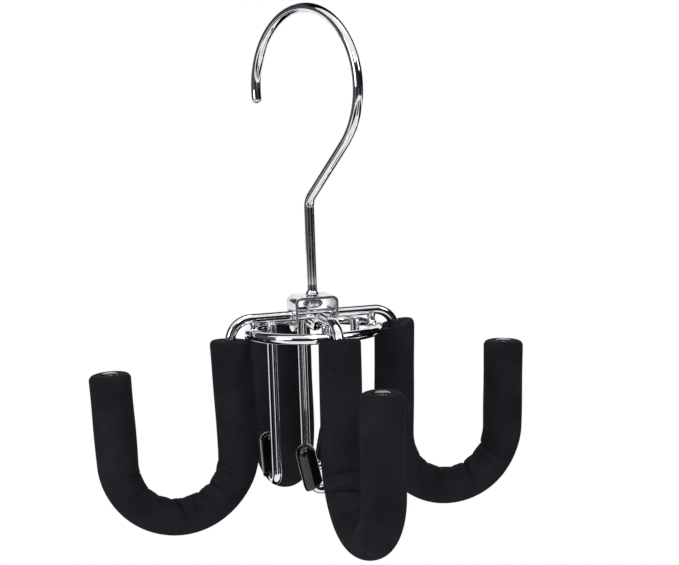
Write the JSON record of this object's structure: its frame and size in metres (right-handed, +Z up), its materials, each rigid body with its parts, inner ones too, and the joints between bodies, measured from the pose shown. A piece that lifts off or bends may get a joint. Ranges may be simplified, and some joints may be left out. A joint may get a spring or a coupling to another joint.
{
  "type": "swivel belt hanger",
  "caption": "Chrome wire hook swivelling over crossed wires that end in foam-padded hooks, with a bracing ring and capped small hooks beneath.",
  "frame": {"origin": "the point where the closet rod touches the underside of the hanging hook's crown, on the swivel axis", "axes": "+Z up along the swivel axis; +X along the upper cross wire towards the right-hand padded hook of the picture; +Y along the lower cross wire towards the rear padded hook"},
  "size_m": [0.213, 0.213, 0.2442],
  "materials": {
    "chrome_wire": "bright chrome plate on drawn steel wire",
    "plated_sheet": "plated pressed steel sheet, slightly duller than the wire",
    "foam": "matt closed-cell foam tube",
    "vinyl": "glossy dipped vinyl cap"
  },
  "bodies": {
    "hook": {"hanging_hook": "chrome_wire"},
    "spider": {"swivel_bracket": "plated_sheet", "upper_cross_wire": "chrome_wire", "lower_cross_wire": "chrome_wire", "brace_ring": "chrome_wire", "foam_sleeve_right": "foam", "foam_sleeve_rear": "foam", "foam_sleeve_left": "foam", "foam_sleeve_front": "foam", "padded_hook_cap_right": "vinyl", "padded_hook_cap_rear": "vinyl", "padded_hook_cap_left": "vinyl", "padded_hook_cap_front": "vinyl", "small_hook_right": "chrome_wire", "small_hook_rear": "chrome_wire", "small_hook_left": "chrome_wire", "small_hook_front": "chrome_wire", "small_hook_cap_right": "vinyl", "small_hook_cap_rear": "vinyl", "small_hook_cap_left": "vinyl", "small_hook_cap_front": "vinyl"}
  },
  "joints": [
    {"name": "swivel", "type": "hinge", "parent": "hook", "child": "spider", "pos_m": [0, 0, -0.1317], "axis": [0, 0, 1], "continuous": true}
  ]
}
